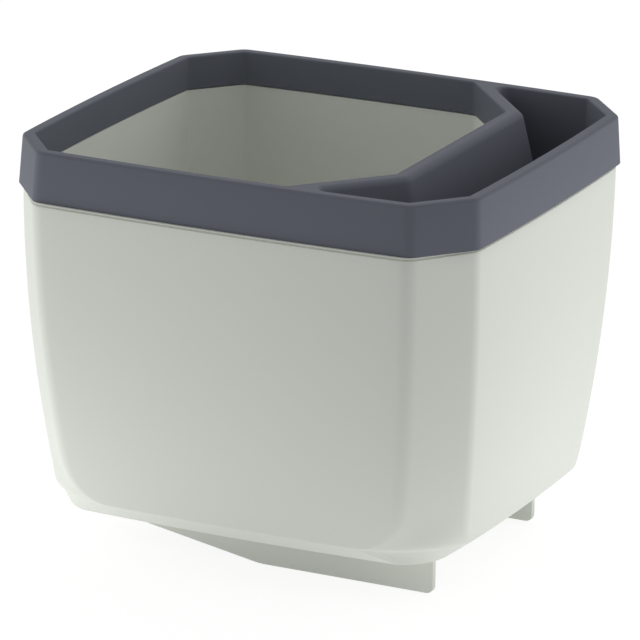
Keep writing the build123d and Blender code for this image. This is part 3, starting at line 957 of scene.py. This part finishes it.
print("camera at", [round(c, 3) for c in camera.location])

# %% [markdown]
# ## The light
# The planter is lit as in a light tent: bright cloth all round, and a dim side where the camera
# stands. Every face then gets lighter the more it turns away from the camera, which is what shows
# the folds of such a plain object. Area lamps would do, but a tent is simply a world whose strength
# depends on the direction, and it leaves no edges of lamps in the gloss. The cloth is dimmer
# overhead, and the camera itself sees the world as plain white.

# %% Write the rule of the tent
TENT_LEVELS = ((0.0, 0.9), (0.2, 1.1), (0.35, 1.45), (0.5, 1.6), (0.65, 1.25), (0.8, 0.76), (1.0, 0.25))
TENT_DIM_TOP = 0.4


def tent_light(tree, way):
    """Nodes for the strength of the cloth in a direction that is one long."""
    facing = add_node(tree, "ShaderNodeVectorMath", {"operation": "DOT_PRODUCT"})
    tree.links.new(way, facing.inputs[0])
    facing.inputs[1].default_value = to_camera
    share = add_node(tree, "ShaderNodeMapRange", From_Min=-1, From_Max=1, Value=facing.outputs["Value"])
    cloth = add_node(tree, "ShaderNodeValToRGB", Fac=share.outputs[0])
    while len(cloth.color_ramp.elements) < len(TENT_LEVELS):
        cloth.color_ramp.elements.new(0.5)
    for stop, (position, level) in zip(cloth.color_ramp.elements, TENT_LEVELS):
        stop.position = position
        stop.color = (level / 2, level / 2, level / 2, 1)
    height = math_node(tree, "MAXIMUM", add_node(tree, "ShaderNodeSeparateXYZ", Vector=way).outputs["Z"], 0)
    dimming = math_node(tree, "MULTIPLY", math_node(tree, "POWER", height, 2), TENT_DIM_TOP)
    top = math_node(tree, "SUBTRACT", 1, dimming)
    return math_node(tree, "MULTIPLY", math_node(tree, "MULTIPLY", cloth.outputs[0], 2), top)


# %% Hang the tent
world = bpy.data.worlds.new("light_tent")
bpy.context.scene.world = world
world.use_nodes = True
tent = world.node_tree
tent.nodes.clear()
strength = tent_light(tent, add_node(tent, "ShaderNodeTexCoord").outputs["Generated"])
light = add_node(tent, "ShaderNodeBackground", Strength=strength)
white = add_node(tent, "ShaderNodeBackground", Strength=1)
path = add_node(tent, "ShaderNodeLightPath")
clear_view = math_node(tent, "MAXIMUM", path.outputs["Is Camera Ray"], path.outputs["Is Transmission Ray"])
clear_view = math_node(tent, "MAXIMUM", clear_view, path.outputs["Is Glossy Ray"])
mix = tent.nodes.new("ShaderNodeMixShader")
tent.links.new(clear_view, mix.inputs[0])
tent.links.new(light.outputs[0], mix.inputs[1])
tent.links.new(white.outputs[0], mix.inputs[2])
out = tent.nodes.new("ShaderNodeOutputWorld")
tent.links.new(mix.outputs[0], out.inputs["Surface"])

# %% [markdown]
# ## The floor
# The photograph has a white ground with hardly any shadow, as a light table gives. A plain pale
# plane could be lit until it is white, but that would flood the planter with light. So the floor is
# grey and glows by itself. To the camera it glows evenly, so that it looks white and keeps a faint
# shadow. To the planter it is the lower part of the tent, and follows the same rule, but it is dim
# close to the fins, where a real pot keeps the light off.

# %% Make the floor
FLOOR_GREY, FLOOR_GLOW, LIGHT_MIDDLE = 0.3, 0.82, (0, 0, 0.15)
SHADE_INSIDE, SHADE_OUTSIDE, SHADE_LEVEL, FLOOR_LIFT = 0.05, 0.14, 0.3, 1.12
floor_mesh = bpy.data.meshes.new("floor")
floor_mesh.from_pydata([(-4, -4, 0), (4, -4, 0), (4, 4, 0), (-4, 4, 0)], [], [(0, 1, 2, 3)])
floor = bpy.data.objects.new("floor", floor_mesh)
bpy.context.scene.collection.objects.link(floor)
floor_look = bpy.data.materials.new("light_table")
floor_look.use_nodes = True
floor_tree = floor_look.node_tree
shader = floor_tree.nodes["Principled BSDF"]
shader.inputs["Roughness"].default_value = 0.9
shader.inputs["Specular IOR Level"].default_value = 0
shader.inputs["Emission Color"].default_value = (1, 1, 1, 1)
shader.inputs["Base Color"].default_value = (FLOOR_GREY, FLOOR_GREY, FLOOR_GREY, 1)
spot = add_node(floor_tree, "ShaderNodeTexCoord").outputs["Object"]
from_middle = add_node(floor_tree, "ShaderNodeVectorMath", {"operation": "SUBTRACT"})
floor_tree.links.new(spot, from_middle.inputs[0])
from_middle.inputs[1].default_value = LIGHT_MIDDLE
way = add_node(floor_tree, "ShaderNodeVectorMath", {"operation": "NORMALIZE"})
floor_tree.links.new(from_middle.outputs["Vector"], way.inputs[0])
cloth_light = math_node(floor_tree, "SUBTRACT", tent_light(floor_tree, way.outputs["Vector"]), FLOOR_GREY)
distance = add_node(floor_tree, "ShaderNodeVectorMath", {"operation": "LENGTH"})
floor_tree.links.new(spot, distance.inputs[0])
shade = add_node(
    floor_tree, "ShaderNodeMapRange", {"interpolation_type": "SMOOTHSTEP"},
    Value=distance.outputs["Value"], From_Min=SHADE_INSIDE, From_Max=SHADE_OUTSIDE, To_Min=SHADE_LEVEL,
)
cloth_light = math_node(floor_tree, "MULTIPLY", cloth_light, shade.outputs[0])
cloth_light = math_node(floor_tree, "MULTIPLY", cloth_light, FLOOR_LIFT)
seen = add_node(floor_tree, "ShaderNodeLightPath").outputs["Is Camera Ray"]
glow = add_node(floor_tree, "ShaderNodeMix", {"data_type": "FLOAT"})
floor_tree.links.new(seen, glow.inputs["Factor"])
floor_tree.links.new(math_node(floor_tree, "MAXIMUM", cloth_light, 0), glow.inputs[2])
glow.inputs[3].default_value = FLOOR_GLOW
floor_tree.links.new(glow.outputs[0], shader.inputs["Emission Strength"])
floor_mesh.materials.append(floor_look)

# %% [markdown]
# ## Finish
# The view transform is set to Standard, so a colour shows as it is written.

# %% Finish
bpy.context.scene.view_settings.view_transform = "Standard"
bpy.context.view_layer.update()
